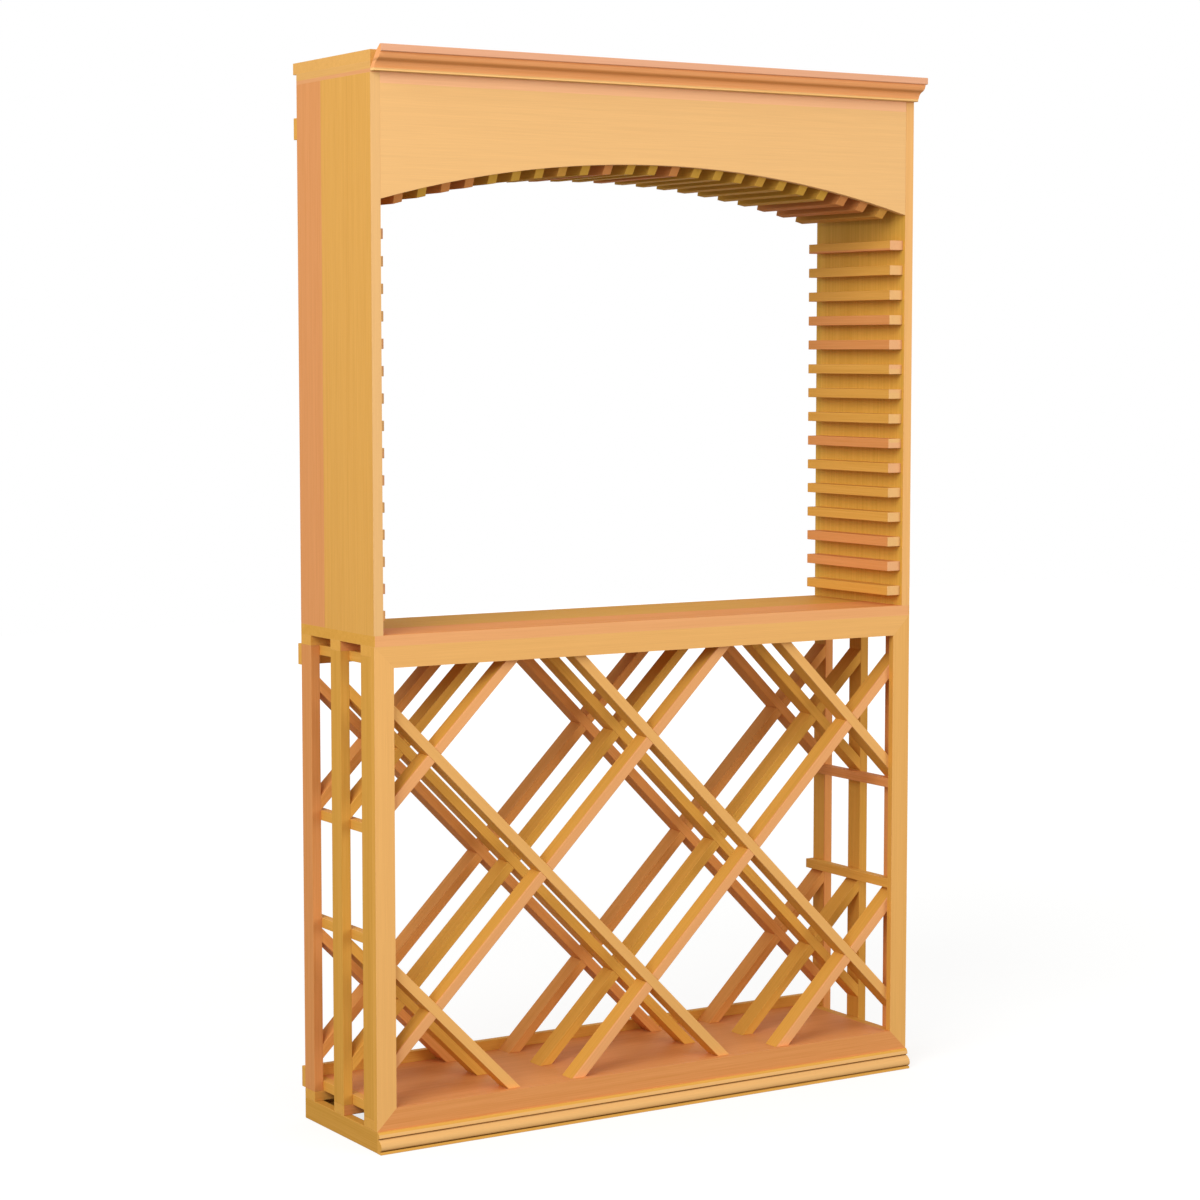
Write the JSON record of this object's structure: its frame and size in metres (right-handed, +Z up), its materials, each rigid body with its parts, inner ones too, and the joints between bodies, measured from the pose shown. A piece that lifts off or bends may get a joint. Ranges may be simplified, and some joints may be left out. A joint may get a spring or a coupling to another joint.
{
  "type": "wine tasting station",
  "caption": "Free-standing wooden wine tasting station: an open diamond-lattice rack with a counter, under an arched hutch with slatted sides and a crown moulding.",
  "frame": {"origin": "centre of the bounding box's footprint, on the floor", "axes": "+Z up; +X to the right seen from the front; +Y from the front to the back"},
  "size_m": [1.16, 0.338, 1.907],
  "materials": {
    "golden_sapwood": "satin clear lacquer",
    "reddish_heartwood": "satin clear lacquer",
    "pale_sapwood": "satin clear lacquer",
    "crown_wood": "satin clear lacquer",
    "beech_dowel": "unfinished"
  },
  "bodies": {
    "root": {"arch_fascia": "pale_sapwood", "base_moulding": "pale_sapwood", "ceiling_slats": "golden_sapwood", "counter_top": "reddish_heartwood", "crown_moulding": "crown_wood", "floor_board": "reddish_heartwood", "frame_bottom_rail": "reddish_heartwood", "frame_left_stile": "golden_sapwood", "frame_right_stile": "golden_sapwood", "frame_top_rail": "golden_sapwood", "front_arch_former": "golden_sapwood", "front_falling_slat_1": "golden_sapwood", "front_falling_slat_2": "golden_sapwood", "front_falling_slat_3": "golden_sapwood", "front_falling_slat_4": "golden_sapwood", "front_rising_slat_1": "reddish_heartwood", "front_rising_slat_2": "reddish_heartwood", "front_rising_slat_3": "reddish_heartwood", "front_rising_slat_4": "reddish_heartwood", "front_runner": "golden_sapwood", "left_front_stile": "golden_sapwood", "left_ladder_rungs": "golden_sapwood", "left_middle_stile": "golden_sapwood", "left_rear_stile": "reddish_heartwood", "left_side_panel": "golden_sapwood", "left_side_runner": "golden_sapwood", "left_wall_slats": "golden_sapwood", "lower_cross_strips": "reddish_heartwood", "lower_rear_rail": "golden_sapwood", "middle_falling_slat_1": "golden_sapwood", "middle_falling_slat_2": "golden_sapwood", "middle_falling_slat_3": "golden_sapwood", "middle_falling_slat_4": "golden_sapwood", "middle_rear_rail": "golden_sapwood", "middle_rising_slat_1": "reddish_heartwood", "middle_rising_slat_2": "reddish_heartwood", "middle_rising_slat_3": "reddish_heartwood", "middle_rising_slat_4": "reddish_heartwood", "panel_dowels": "beech_dowel", "rear_arch_former": "golden_sapwood", "rear_falling_slat_1": "golden_sapwood", "rear_falling_slat_2": "golden_sapwood", "rear_falling_slat_3": "golden_sapwood", "rear_falling_slat_4": "golden_sapwood", "rear_rising_slat_1": "reddish_heartwood", "rear_rising_slat_2": "reddish_heartwood", "rear_rising_slat_3": "reddish_heartwood", "rear_rising_slat_4": "reddish_heartwood", "rear_runner": "golden_sapwood", "right_front_stile": "golden_sapwood", "right_ladder_rungs": "golden_sapwood", "right_middle_stile": "golden_sapwood", "right_rear_stile": "golden_sapwood", "right_side_panel": "golden_sapwood", "right_side_runner": "golden_sapwood", "right_wall_slats": "golden_sapwood", "roof_board": "golden_sapwood", "roof_side_strips": "golden_sapwood", "upper_cross_strips": "reddish_heartwood", "upper_rear_rail": "golden_sapwood"}
  },
  "joints": []
}
